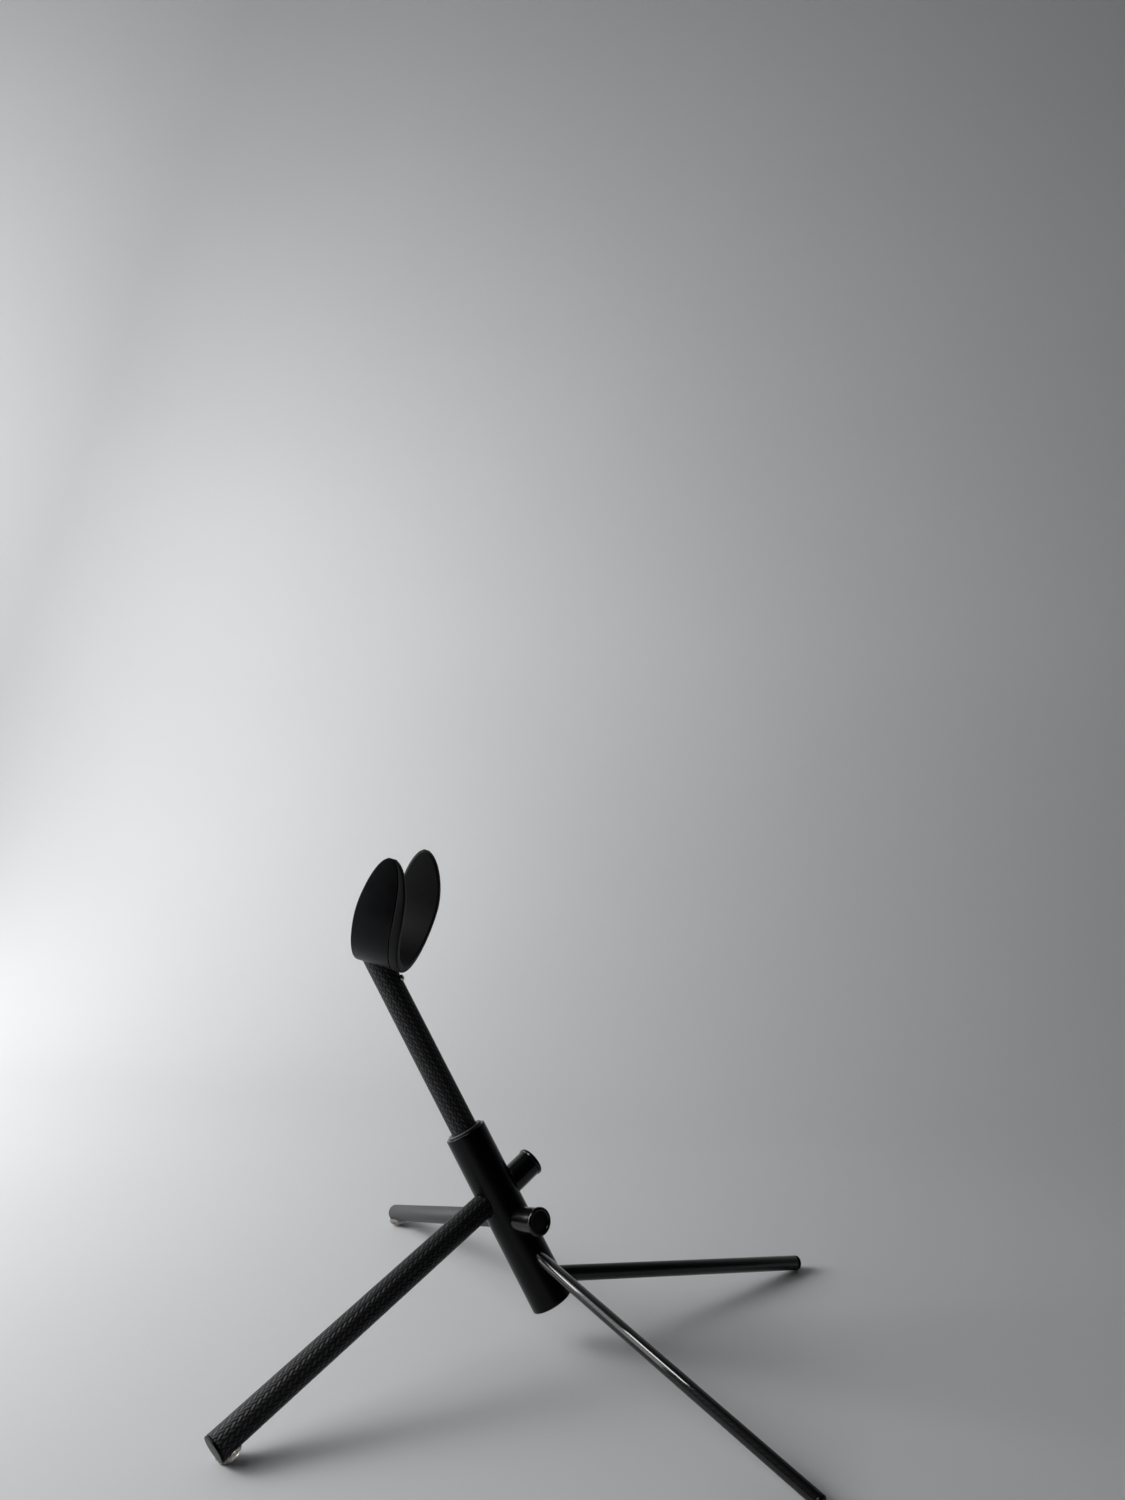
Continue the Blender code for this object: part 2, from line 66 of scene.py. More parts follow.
# Cradle, as the CAD model draws it
CRADLE_TILT = math.radians(44.0)
HEAD_HEIGHT = 244.0 * MM
BAND_RADIUS = 44.0 * MM
BAND_THICKNESS = 2.0 * MM
BAND_HALF_WIDTH = 12.9 * MM
BAND_EDGE = 0.55 * MM
ARM_TOE_IN = math.radians(7.0)
ARM_LENGTH = 27.2 * MM     # a little short of the CAD model's, whose coarser tips it stays inside
ARM_TAPER = 43.0 * MM
TIP_HALF_WIDTH = 1.6 * MM
PAD_THICKNESS = 3.0 * MM
PAD_INSET = 1.0 * MM
PAD_LIP = 6.3 * MM
PAD_LIP_TIP = 1.4 * MM
PAD_ROUND = 1.4 * MM
ARC_STEPS = 64
ARM_STEPS = 28

# Hub, tubes and caps
HUB_EDGE = 0.6 * MM
HUB_RINGS = 60
HUB_BEVEL = 0.15 * MM
SOCKET_DEPTH = 30.8 * MM
SOCKET_RADIUS = 10.25 * MM
BLIND_GAP = 0.3 * MM
FAR = 50 * MM              # past the hub's surface, for the cutters
TUBE_EDGE = 0.15 * MM
MAST_RINGS = 60
CAP_EDGES = {
    "front_left": 0.4 * MM,
    "front_right": 1.2 * MM,
    "rear_left": 1.0 * MM,
    "rear_right": 1.4 * MM,
}
BUSH_EDGE = 0.3 * MM

# Head pin
PIN_HEIGHT = 229.0 * MM
PIN_RADIUS = 1.4 * MM
PIN_DEPTH = 6.5 * MM
PIN_DOME_RADIUS = 2.3 * MM
PIN_DOME_HEIGHT = 1.9 * MM
PIN_STEPS = 48

# Cradle screw
SCREW_HOLE_RADIUS = 1.75 * MM
SCREW_HEAD_HOLE_RADIUS = 3.15 * MM
SCREW_HEAD_HEIGHT = 1.5 * MM

# Rest pegs, as the CAD model draws them
PEG_SPREAD = math.radians(40)
PEG_TILT = 0.15
PEG_REACH = 32.5 * MM
PEG_RECESS = 1.6 * MM
PEG_START = 5.5 * MM
PEG_EDGE = 0.4 * MM
PEGS = {"left": (-1, 58 * MM), "right": (1, 76 * MM)}   # side and height on the hub
SLEEVE_START = 6.0 * MM
SLEEVE_WALL = 1.5 * MM
SLEEVE_BEAD = 0.6 * MM
SLEEVE_BEAD_LENGTH = 3.6 * MM
SLEEVE_LIP = 0.5 * MM
SLEEVE_ROUND = 1.4 * MM
SLEEVE_MOUTH_ROUND = 1.1 * MM

# Bumpers under the front legs
BUMPER_RADIUS = 7.2 * MM
BUMPER_HEIGHT = 3.6 * MM
BUMPER_WING = 2.4 * MM
BUMPER_RINGS = 16
BUMPER_BEVEL = 0.2 * MM

# Weave: two crossing strips of fibre share a diamond of this size, across and along a tube
DIAMOND_ACROSS = 2.1 * MM
DIAMOND_ALONG = 4.2 * MM

# Room: lights as (place, target, width and height, power, lit surfaces), and a curved paper
# backdrop. The glint is seen only in what shines.
STAND_MIDDLE = (0.0, 0.0, 0.12)
BACKDROP_MIDDLE = (0.35, 1.0, 0.5)
LIGHTS = {
    "key": ((-1.0, -0.1, 0.5), STAND_MIDDLE, (1.3, 1.1), 12.5, True),
    "wash": ((-1.9, -0.1, 1.0), BACKDROP_MIDDLE, (0.8, 0.8), 23.0, True),
    "glint": ((-0.5, -0.4, 1.0), STAND_MIDDLE, (0.3, 0.3), 5.0, False),
}
ROOM_LIGHT = 0.01
BACKDROP_FRONT = -2.5
BACKDROP_BACK = 0.45
BACKDROP_RISE = 0.55
BACKDROP_HEIGHT = 4.0
BACKDROP_HALF_WIDTH = 4.0
BACKDROP_STEPS = 24
PAPER_DARK = (0.60, 0.61, 0.62)
PAPER_LIGHT = (0.64, 0.65, 0.66)


# Frames measured off the CAD solids

def points_of(node):
    return [vertex.co.copy() for vertex in frame["nodes"][node].data.vertices]


def middle(points):
    total = Vector((0, 0, 0))
    for point in points:
        total += point
    return total / len(points)


def joint_direction(name):
    joint = next(item for item in frame["joints"] if item["name"] == name)
    return Vector(joint["axis"]).normalized()


def end_centres(node, direction, depth=0.5 * MM):
    """Means of the mesh points at a turned piece's two ends, lowest along the direction first.

    Points that the mesh repeats pull a mean off the true centre. On hub_body that leans the
    hub's frame by 0.8 degrees.
    """
    points = points_of(node)
    heights = [point.dot(direction) for point in points]
    low = [point for point, height in zip(points, heights) if height < min(heights) + depth]
    high = [point for point, height in zip(points, heights) if height > max(heights) - depth]
    return middle(low), middle(high)


def frame_on(origin, along, facing):
    """A matrix with Z along the axis and X towards the facing direction."""
    across = (facing - along * facing.dot(along)).normalized()
    side = along.cross(across)
    turn = Matrix((across, side, along)).transposed().to_4x4()
    return Matrix.Translation(origin) @ turn


def measure(node, matrix):
    """(lowest, highest, inner radius, outer radius) of a node in a frame."""
    local = [matrix.inverted() @ point for point in points_of(node)]
    radii = [math.hypot(point.x, point.y) for point in local]
    heights = [point.z for point in local]
    return min(heights), max(heights), min(radii), max(radii)


def hub_matrix():
    low, high = end_centres("hub_body", joint_direction("mast_swivel"))
    return frame_on(low, (high - low).normalized(), Vector((1, 0, 0)))


def leg_matrix(leg):
    tube = leg + "_leg_tube"
    low, high = end_centres(tube, joint_direction(leg + "_leg_pull"))
    return frame_on(low, (high - low).normalized(), Vector((0, 0, -1)))


def peg_matrix(peg, hub):
    side, height = PEGS[peg]
    forward = Vector((math.cos(PEG_SPREAD), side * math.sin(PEG_SPREAD), side * PEG_TILT))
    along = (hub.to_3x3() @ forward).normalized()
    return frame_on(hub @ Vector((0, 0, height)), along, Vector((0, 0, -1)))


def quarter_turn():
    return Matrix.Rotation(math.pi / 2, 4, "Y")


# Mesh helpers

def new_object(name, mesh, matrix, material):
    """Links a mesh drawn in its own frame as an object at the world's origin."""
    mesh.transform(matrix)
    mesh.materials.append(material)
    item = bpy.data.objects.new(name, mesh)
    bpy.context.scene.collection.objects.link(item)
    return item


def finish_mesh(name, bm):
    bmesh.ops.recalc_face_normals(bm, faces=bm.faces)
    mesh = bpy.data.meshes.new(name)
    bm.to_mesh(mesh)
    bm.free()
    mesh.shade_smooth()
    mesh.set_sharp_from_angle(angle=SHARP_ANGLE)
    return mesh


def turned(name, profile, steps=ROUND_STEPS, weave=False):
    """A turned solid from a closed profile of (radius, height) points.

    With weave, its UV map counts diamonds round the piece and along it.
    """
    bm = bmesh.new()
    layer = bm.loops.layers.uv.new("weave")
    widest = max(radius for radius, _ in profile)
    diamonds = 2 * round(math.pi * widest / DIAMOND_ACROSS)
    rings = []
    for radius, height in profile:
        if radius < 1e-7:
            rings.append([bm.verts.new((0, 0, height))])
            continue
        ring = []
        for step in range(steps):
            angle = 2 * math.pi * step / steps
            ring.append(bm.verts.new((radius * math.cos(angle), radius * math.sin(angle), height)))
        rings.append(ring)
    for index, ring in enumerate(rings):
        other = rings[(index + 1) % len(rings)]
        if len(ring) == 1 and len(other) == 1:
            continue
        for step in range(steps):
            ahead = (step + 1) % steps
            if len(ring) == 1:
                corners = ((ring[0], step), (other[step], step), (other[ahead], step + 1))
            elif len(other) == 1:
                corners = ((ring[step], step), (other[0], step), (ring[ahead], step + 1))
            else:
                corners = ((ring[step], step), (other[step], step), (other[ahead], step + 1),
                           (ring[ahead], step + 1))
            face = bm.faces.new([vertex for vertex, _ in corners])
            turns = {vertex: turn / steps for vertex, turn in corners}
            for loop in face.loops:
                along = loop.vert.co.z / DIAMOND_ALONG
                loop[layer].uv = (turns[loop.vert] * diamonds, along)
    if not weave:
        bm.loops.layers.uv.remove(layer)
    return finish_mesh(name, bm)


def rounded(centre, radius, start, end, steps=EDGE_STEPS):
    """Points on a round corner, as (radius, height) pairs."""
    points = []
    for step in range(steps + 1):
        angle = math.radians(start + (end - start) * step / steps)
        points.append((centre[0] + radius * math.cos(angle), centre[1] + radius * math.sin(angle)))
    return points


def swept(name, sections):
    """A closed solid through equal sections, with a fan of faces over each end."""
    bm = bmesh.new()
    loops = [[bm.verts.new(point) for point in section] for section in sections]
    count = len(loops[0])
    for loop, other in zip(loops, loops[1:]):
        for index in range(count):
            ahead = (index + 1) % count
            bm.faces.new((loop[index], loop[ahead], other[ahead], other[index]))
    for loop in (loops[0], loops[-1]):
        top = bm.verts.new(middle([vertex.co for vertex in loop]))
        for index in range(count):
            bm.faces.new((loop[index], loop[(index + 1) % count], top))
    return finish_mesh(name, bm)


def cut(item, profile, matrix, steps=ROUND_STEPS):
    """Takes a turned shape out of an item, for good."""
    mesh = turned(item.name + "_cutter", profile, steps)
    mesh.transform(matrix)
    cutter = bpy.data.objects.new(item.name + "_cutter", mesh)
    bpy.context.scene.collection.objects.link(cutter)
    boolean = item.modifiers.new("cut", "BOOLEAN")
    boolean.operation = "DIFFERENCE"
    boolean.solver = "EXACT"
    boolean.object = cutter
    bake_modifiers(item)
    bpy.data.objects.remove(cutter)


def bake_modifiers(item):
    bpy.context.view_layer.update()
    graph = bpy.context.evaluated_depsgraph_get()
    mesh = bpy.data.meshes.new_from_object(item.evaluated_get(graph))
    item.modifiers.clear()
    item.data = mesh


def rod(radius, low, high):
    return [(0, low), (radius, low), (radius, high), (0, high)]


def wall(radius, low, high, rings):
    """Points up a straight wall, so that its faces stay short."""
    return [(radius, low + (high - low) * ring / rings) for ring in range(rings + 1)]


def bevel_edges(item, width, limit=40):
    bevel = item.modifiers.new("edge", "BEVEL")
    bevel.width = width
    bevel.segments = 2
    bevel.limit_method = "ANGLE"
    bevel.angle_limit = math.radians(limit)
    bake_modifiers(item)


def stand_for(item, body, slot, *nodes):
    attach(item, body)
    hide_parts(*nodes)


# Materials

TOW_ROUNDNESS = 1.6          # powers that shape each strip of fibre, across and along
TOW_DIP = 3.0
FIBRE_STREAKS = 4.0          # streaks across half a strip
STREAK_SHIFT = 40.0
STREAK_SHARE = 0.6           # of the strips' change in tone, and the rest changes per strip
UNDER_SHEEN = 0.5       # painted sheen: brightness painted on the strips that rise the other way, which catch less of the light
TONE_RANGE = (0.5, 1.5)
VALLEY_ROUGHNESS = 0.2       # more than on top of a strip
STREAK_RELIEF = 0.2          # share of a strip's height
GLOSS_ROUGHNESS = 0.06       # of the clear coat
RINGS_PER_DIAMOND = 4.0
RING_WOBBLE = 0.12           # in diamonds along the tube
RING_TONE = 0.12
LATHE_RING = 0.4 * MM
RESIN = (0.0006, 0.0006, 0.0008)
FIBRE = (0.070, 0.071, 0.075)


class Graph:
    """A material's nodes: each call adds one and returns its output."""

    def __init__(self, name):
        self.material = bpy.data.materials.new(name)
        self.material.use_nodes = True
        self.tree = self.material.node_tree
        self.shader = self.tree.nodes["Principled BSDF"]

    def wire(self, value, socket):
        if isinstance(value, bpy.types.NodeSocket):
            self.tree.links.new(value, socket)
        else:
            socket.default_value = value

    def add(self, kind, settings, inputs, output=0):
        node = self.tree.nodes.new(kind)
        for key, value in settings.items():
            setattr(node, key, value)
        for key, value in inputs.items():
            self.wire(value, node.inputs[key])
        return node.outputs[output]

    def math(self, operation, *values):
        return self.add("ShaderNodeMath", {"operation": operation}, dict(enumerate(values)))

    def mix(self, share, low, high):
        return self.add("ShaderNodeMix", {"data_type": "FLOAT"}, {0: share, 2: low, 3: high})

    def blend(self, share, low, high):
        return self.add("ShaderNodeMix", {"data_type": "RGBA"},
                        {0: share, 6: (*low, 1.0), 7: (*high, 1.0)}, 2)

    def vector(self, x, y, z):
        return self.add("ShaderNodeCombineXYZ", {}, {0: x, 1: y, 2: z})

    def split(self, vector):
        node = self.tree.nodes.new("ShaderNodeSeparateXYZ")
        self.wire(vector, node.inputs[0])
        return node.outputs

    def weave_place(self):
        """Diamonds round the tube and along it."""
        turn, along, _ = self.split(self.add("ShaderNodeUVMap", {"uv_map": "weave"}, {}))
        return turn, along

    def centred(self, value):
        """Runs from -1 to 1 over each whole step of a value."""
        share = self.math("FRACT", value)
        return self.math("MULTIPLY_ADD", share, 2.0, -1.0)

    def pillow(self, value, power):
        """1 in the middle of a strip that runs from -1 to 1, and 0 at its edges."""
        return self.math("SUBTRACT", 1.0, self.math("POWER", self.math("ABSOLUTE", value), power))

    def noise(self, vector, scale, detail=2.0):
        return self.add("ShaderNodeTexNoise", {},
                        {"Vector": vector, "Scale": scale, "Detail": detail})

    def place(self):
        return self.add("ShaderNodeTexCoord", {}, {}, 3)

    def limits(self, value, low, high, to_low, to_high):
        return self.add("ShaderNodeMapRange", {"clamp": True},
                        {0: value, 1: low, 2: high, 3: to_low, 4: to_high})

    def bump(self, height, distance, strength=1.0):
        bump = self.add("ShaderNodeBump", {}, {"Height": height, "Distance": distance,
                                               "Strength": strength})
        self.wire(bump, self.shader.inputs["Normal"])

    def set(self, **values):
        """Values and outputs for the shader's own sockets, such as Base_Color."""
        for key, value in values.items():
            self.wire(value, self.shader.inputs[key.replace("_", " ")])
        return self.material


def weave_pattern(graph):
    """Height, fibre streaks, a random share and the fibres' direction, for a two-by-two braid.

    Strips of fibre rise round the tube both ways. Each lies over two crossing strips, then
    under two.
    """
    turn, along = graph.weave_place()
    rising = graph.math("ADD", turn, along)
    falling = graph.math("SUBTRACT", turn, along)
    rising_cell = graph.math("FLOOR", rising)
    falling_cell = graph.math("FLOOR", falling)
    phase = graph.math("FLOORED_MODULO", graph.math("ADD", rising_cell, falling_cell), 4.0)
    over = graph.math("LESS_THAN", phase, 1.5)
    across = graph.mix(over, graph.centred(rising), graph.centred(falling))
    strip = graph.mix(over, rising_cell, falling_cell)
    length = graph.mix(over, graph.math("ADD", falling, rising_cell),
                       graph.math("ADD", rising, falling_cell))
    run = graph.math("SUBTRACT", graph.math("FLOORED_MODULO", length, 4.0),
                     graph.mix(over, 3.0, 1.0))
    height = graph.math("MULTIPLY", graph.pillow(across, TOW_ROUNDNESS), graph.pillow(run, TOW_DIP))
    cell = graph.vector(strip, graph.math("FLOOR", graph.math("DIVIDE", length, 4.0)), over)
    random = graph.add("ShaderNodeTexWhiteNoise", {"noise_dimensions": "3D"}, {"Vector": cell})
    streak_place = graph.vector(graph.math("MULTIPLY", across, FIBRE_STREAKS), run,
                                graph.math("MULTIPLY", random, STREAK_SHIFT))
    return height, graph.noise(streak_place, 1.0, 3.0), random, over


def woven_carbon(name, roughness, coat, relief, brightness, specular):
    """Woven carbon: pillows of fibre in black resin, matt or under a clear coat. The fibre colour
    is a painted highlight, brightest on each strip's crown, and strips that rise the other way get
    a painted sheen half as bright.
    """
    graph = Graph(name)
    height, streaks, random, over = weave_pattern(graph)
    tone = graph.math("ADD", graph.math("MULTIPLY", streaks, STREAK_SHARE),
                      graph.math("MULTIPLY", random, 1.0 - STREAK_SHARE))
    # Painted sheen on the strips that rise the other way, times the strips' own random tone and
    # streaks
    sheen_and_tone = graph.math("MULTIPLY", graph.mix(over, 1.0, UNDER_SHEEN),
                       graph.mix(tone, *TONE_RANGE))
    # Painted highlight: the fibre colour shows most on each strip's crown, where light would catch
    # the bulge. At the strip's edges it fades to black, partly real resin between strips and partly
    # painted shade.
    lit = graph.math("MULTIPLY", graph.math("MULTIPLY", height, sheen_and_tone), brightness)
    colour = graph.blend(lit, RESIN, FIBRE)
    graph.bump(graph.math("ADD", height, graph.math("MULTIPLY", streaks, STREAK_RELIEF)), relief)
    return graph.set(Base_Color=colour, Specular_IOR_Level=specular,
                     Roughness=graph.mix(height, roughness + VALLEY_ROUGHNESS, roughness),
                     Coat_Weight=coat, Coat_Roughness=GLOSS_ROUGHNESS)


def wrapped_carbon():
    """Carbon tube with the fine rings that its shrink tape leaves round it."""
    graph = Graph("wrapped_carbon")
    turn, along = graph.weave_place()
    wobble = graph.noise(graph.vector(turn, along, 0.0), 0.6)
    shifted = graph.math("MULTIPLY_ADD", wobble, RING_WOBBLE, along)
    rings = graph.math("SINE", graph.math("MULTIPLY", shifted, 2 * math.pi * RINGS_PER_DIAMOND))
    grain_place = graph.vector(graph.math("MULTIPLY", turn, 0.4),
                               graph.math("MULTIPLY", along, 9.0), 0.0)
    grain = graph.noise(grain_place, 3.0, 4.0)
    tone = graph.math("MULTIPLY_ADD", rings, RING_TONE, grain)
    colour = graph.blend(graph.limits(tone, 0.2, 0.8, 0.0, 1.0),
                         (0.010, 0.010, 0.011), (0.024, 0.024, 0.026))
    graph.bump(graph.math("ADD", rings, grain), 0.03 * MM)
    return graph.set(Base_Color=colour, Roughness=graph.limits(grain, 0.3, 0.7, 0.40, 0.52))


def satin_carbon():
    """Pultruded carbon with fibres that run along the tube."""
    graph = Graph("satin_carbon")
    turn, along = graph.weave_place()
    place = graph.vector(graph.math("MULTIPLY", turn, 9.0),
                         graph.math("MULTIPLY", along, 0.35), 0.0)
    fibres = graph.noise(place, 1.0, 4.0)
    colour = graph.blend(graph.limits(fibres, 0.35, 0.7, 0.0, 1.0), (0.002, 0.002, 0.0022),
                         (0.008, 0.008, 0.0085))
    graph.bump(fibres, 0.03 * MM)
    return graph.set(Base_Color=colour, Roughness=graph.limits(fibres, 0.3, 0.7, 0.26, 0.38))


def lathed():
    """Black acetal bar, with the faint rings that turning leaves round it."""
    graph = Graph("turned_acetal")
    place = graph.place()
    axis = joint_direction("mast_swivel")
    along = graph.add("ShaderNodeVectorMath", {"operation": "DOT_PRODUCT"}, {0: place, 1: axis}, 1)
    rings = graph.noise(graph.vector(0.0, 0.0, along), 1.0 / LATHE_RING, 2.0)
    cloud = graph.noise(place, 55.0, 3.0)
    colour = graph.blend(graph.limits(cloud, 0.35, 0.65, 0.0, 1.0), (0.0006, 0.0007, 0.0011),
                         (0.0012, 0.0013, 0.0019))
    graph.bump(rings, 0.004 * MM)
    shine = graph.limits(graph.math("MULTIPLY_ADD", rings, 0.3, cloud), 0.4, 0.9, 0.20, 0.27)
    return graph.set(Base_Color=colour, Roughness=shine, Specular_IOR_Level=0.2)


def moulded(name, dark, light, roughness, grain_size, grain_depth, specular):
    """Plastic or rubber with a fine moulded grain and slight changes of tone."""
    graph = Graph(name)
    place = graph.place()
    grain = graph.noise(place, 1.0 / grain_size, 3.0)
    cloud = graph.noise(place, 60.0, 2.0)
    colour = graph.blend(graph.limits(cloud, 0.35, 0.65, 0.0, 1.0), dark, light)
    graph.bump(grain, grain_depth)
    shine = graph.limits(graph.math("ADD", cloud, graph.math("MULTIPLY", grain, 0.5)), 0.5, 1.0,
                         roughness - 0.04, roughness + 0.06)
    return graph.set(Base_Color=colour, Roughness=shine, Specular_IOR_Level=specular)


def steel():
    graph = Graph("brushed_steel")
    place = graph.place()
    grain = graph.noise(place, 2500.0, 3.0)
    colour = graph.blend(grain, (0.50, 0.50, 0.49), (0.72, 0.71, 0.69))
    graph.bump(grain, 0.01 * MM)
    return graph.set(Base_Color=colour, Roughness=graph.limits(grain, 0.3, 0.7, 0.14, 0.26),
                     Metallic=1.0)


def silicone():
    graph = Graph("clear_silicone")
    place = graph.place()
    cloud = graph.noise(place, 180.0, 3.0)
    colour = graph.blend(graph.limits(cloud, 0.35, 0.65, 0.0, 1.0), (0.34, 0.32, 0.29),
                         (0.62, 0.60, 0.56))
    graph.bump(cloud, 0.05 * MM)
    return graph.set(Base_Color=colour, Roughness=graph.limits(cloud, 0.35, 0.65, 0.10, 0.24),
                     Transmission_Weight=0.6, IOR=1.41)


def make_materials():
    return {
        "hub": lathed(),
        "bush": moulded("bush_acetal", (0.045, 0.045, 0.047), (0.070, 0.070, 0.072), 0.42,
                        0.25 * MM, 0.004 * MM, 0.4),
        "mast": woven_carbon("woven_carbon_mast", 0.34, 0.0, 0.3 * MM, 1.0, 0.16),
        "front_left": woven_carbon("woven_carbon_leg", 0.34, 0.0, 0.3 * MM, 0.8, 0.14),
        "front_right": wrapped_carbon(),
        "rear_left": woven_carbon("gloss_carbon", 0.42, 1.0, 0.05 * MM, 0.1, 0.1),
        "rear_right": satin_carbon(),
        "band": moulded("band_coating", (0.0015, 0.0018, 0.0028), (0.0028, 0.0032, 0.0045), 0.42,
                        0.3 * MM, 0.012 * MM, 0.15),
        "pad": moulded("pad_rubber", (0.002, 0.002, 0.002), (0.0035, 0.0035, 0.0035), 0.60,
                       0.35 * MM, 0.03 * MM, 0.18),
        "pin": moulded("pin_acetal", (0.0008, 0.0008, 0.0010), (0.0015, 0.0015, 0.0018), 0.45,
                       0.3 * MM, 0.006 * MM, 0.2),
        "sleeve": moulded("sleeve_rubber", (0.0015, 0.0015, 0.0015), (0.003, 0.003, 0.003), 0.18,
                          0.4 * MM, 0.01 * MM, 0.4),
        "cap": moulded("cap_plastic", (0.001, 0.001, 0.0012), (0.002, 0.002, 0.0024), 0.30,
                       0.3 * MM, 0.01 * MM, 0.12),
        "steel": steel(),
        "silicone": silicone(),
    }


# Pieces

def build_hub(hub, legs, pegs, materials):
    """The turned bar, bored for the mast's bush, the four legs and the two pegs."""
    low, high, _, radius = measure("hub_body", hub)
    profile = [(0, low)]
    profile += rounded((radius - HUB_EDGE, low + HUB_EDGE), HUB_EDGE, -90, 0)
    profile += wall(radius, low + HUB_EDGE, high - HUB_EDGE, HUB_RINGS)[1:-1]
    profile += rounded((radius - HUB_EDGE, high - HUB_EDGE), HUB_EDGE, 0, 90)
    floor = high - SOCKET_DEPTH
    profile += [(SOCKET_RADIUS, high), (SOCKET_RADIUS, floor), (0, floor)]
    bar = new_object("hub_bar", turned("hub_bar", profile, 2 * ROUND_STEPS), hub, materials["hub"])
    for leg, matrix in legs.items():
        start, _, _, leg_radius = measure(leg + "_leg_tube", matrix)
        cut(bar, rod(leg_radius + FIT_GAP, start - BLIND_GAP, FAR), matrix)
    for peg, matrix in pegs.items():
        peg_radius = measure(peg + "_rest_pin", matrix)[3]
        cut(bar, rod(peg_radius + FIT_GAP, PEG_START - BLIND_GAP, FAR), matrix)
    bevel_edges(bar, HUB_BEVEL)
    stand_for(bar, "hub", "hub_acetal", "hub_body")


def build_bush(hub, materials):
    """The flanged bush that the mast turns with."""
    low, high, hole, flange = measure("mast_bush", hub)
    shoulder = measure("hub_body", hub)[1] + FACE_GAP
    bore = measure("mast_tube", hub)[3] + FIT_GAP
    floor = measure("mast_tube", hub)[0] - FACE_GAP
    sleeve = SOCKET_RADIUS - FIT_GAP
    edge = BUSH_EDGE
    profile = [(hole, low), (sleeve, low), (sleeve, shoulder), (flange, shoulder)]
    profile += rounded((flange - edge, high - edge), edge, 0, 90)
    profile += rounded((bore + edge, high - edge), edge, 90, 180)
    profile += [(bore, floor), (hole, floor)]
    bush = new_object("bush", turned("bush", profile), hub, materials["bush"])
    stand_for(bush, "bush", "bush_acetal", "mast_bush")


def saddle_height(x, y):
    """Where the band's underside meets the mast's wall, above the hub's base."""
    reach = BAND_RADIUS + FACE_GAP
    sag = BAND_RADIUS - math.sqrt(reach ** 2 - y ** 2)
    return HEAD_HEIGHT + (sag - x * math.sin(CRADLE_TILT)) / math.cos(CRADLE_TILT)


def build_mast(hub, materials):
    """The tube, with its top end shaped to the cradle's band."""
    low, _, inner, outer = measure("mast_tube", hub)
    outside = wall(outer, low, HEAD_HEIGHT, MAST_RINGS)
    inside = wall(inner, HEAD_HEIGHT, low, MAST_RINGS)
    mesh = turned("mast", outside + inside, weave=True)
    layer = mesh.uv_layers["weave"].data
    for vertex in mesh.vertices:
        share = (vertex.co.z - low) / (HEAD_HEIGHT - low)
        top = saddle_height(vertex.co.x, vertex.co.y)
        vertex.co.z = low + share * (top - low)
    for loop in mesh.loops:
        layer[loop.index].uv.y = mesh.vertices[loop.vertex_index].co.z / DIAMOND_ALONG
    mast = new_object("mast", mesh, hub, materials["mast"])
    pin = hub @ Matrix.Translation((0, 0, PIN_HEIGHT)) @ quarter_turn()
    cut(mast, rod(PIN_RADIUS + FIT_GAP, 0, FAR), pin, PIN_STEPS)
    stand_for(mast, "mast", "carbon_twill", "mast_tube")

    seat = outer + FACE_GAP
    profile = [(0, outer - PIN_DEPTH), (PIN_RADIUS, outer - PIN_DEPTH), (PIN_RADIUS, seat)]
    for ring in range(EDGE_STEPS * 2):
        angle = math.pi / 2 * ring / (EDGE_STEPS * 2)
        profile.append((PIN_DOME_RADIUS * math.cos(angle),
                        seat + PIN_DOME_HEIGHT * math.sin(angle)))
    profile.append((0, seat + PIN_DOME_HEIGHT))
    stud = new_object("head_pin", turned("head_pin", profile, PIN_STEPS), pin, materials["steel"])
    stand_for(stud, "mast", "steel", "mast_head_pin")


def build_leg(leg, matrix, slot, materials):
    low, high, inner, outer = measure(leg + "_leg_tube", matrix)
    edge = TUBE_EDGE
    profile = [(inner, low)] + rounded((outer - edge, low + edge), edge, -90, 0, 2)
    profile += rounded((outer - edge, high - edge), edge, 0, 90, 2) + [(inner, high)]
    name = leg + "_leg"
    tube = new_object(name, turned(name, profile, weave=True), matrix, materials[leg])
    stand_for(tube, leg + "_leg", slot, leg + "_leg_tube")

    cap_low, cap_high, _, _ = measure(leg + "_leg_cap", matrix)
    shoulder = high + FACE_GAP
    stem = inner - FIT_GAP
    rim = CAP_EDGES[leg]
    profile = [(0, cap_low), (stem, cap_low), (stem, shoulder)]
    profile += rounded((outer - edge, shoulder + edge), edge, -90, 0, 2)
    profile += rounded((outer - rim, cap_high - rim), rim, 0, 90, 8) + [(0, cap_high)]
    name = leg + "_end_cap"
    cap = new_object(name, turned(name, profile), matrix, materials["cap"])
    stand_for(cap, leg + "_leg", "cap_black", leg + "_leg_cap")


